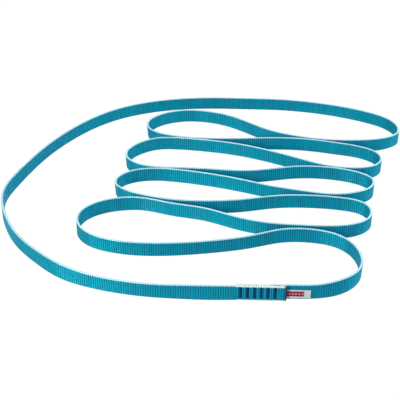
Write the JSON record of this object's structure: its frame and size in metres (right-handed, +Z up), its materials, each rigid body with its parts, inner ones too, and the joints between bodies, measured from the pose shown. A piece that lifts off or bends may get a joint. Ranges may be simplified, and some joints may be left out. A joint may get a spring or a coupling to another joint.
{
  "type": "webbing sling",
  "caption": "Endless loop of flat woven webbing with pale edges, its lapped ends sewn with bar tacks around a small hinged label, standing on its edge in loose folds.",
  "frame": {"origin": "middle of the folded loop's plan, on the surface that it stands on", "axes": "+Z up across the webbing's width, +X along the folds towards the label's end, -Y towards the side with the seam"},
  "size_m": [0.4442, 0.406, 0.016],
  "materials": {
    "webbing": "ribbed blue weave with pale woven edges",
    "bar_tack_thread": "dense navy satin stitching",
    "label": "pale woven tape with a red geometric border"
  },
  "bodies": {
    "sling": {"webbing": "webbing", "bar_tack_1": "bar_tack_thread", "bar_tack_2": "bar_tack_thread", "bar_tack_3": "bar_tack_thread", "bar_tack_4": "bar_tack_thread", "bar_tack_5": "bar_tack_thread", "bar_tack_6": "bar_tack_thread", "label_tail": "label"},
    "label": {"label_flap": "label"}
  },
  "joints": [
    {"name": "label_hinge", "type": "hinge", "parent": "sling", "child": "label", "pos_m": [0.06835, -0.20025, 0.0065], "axis": [0, 0, -1], "range_deg": [0, 120]}
  ]
}
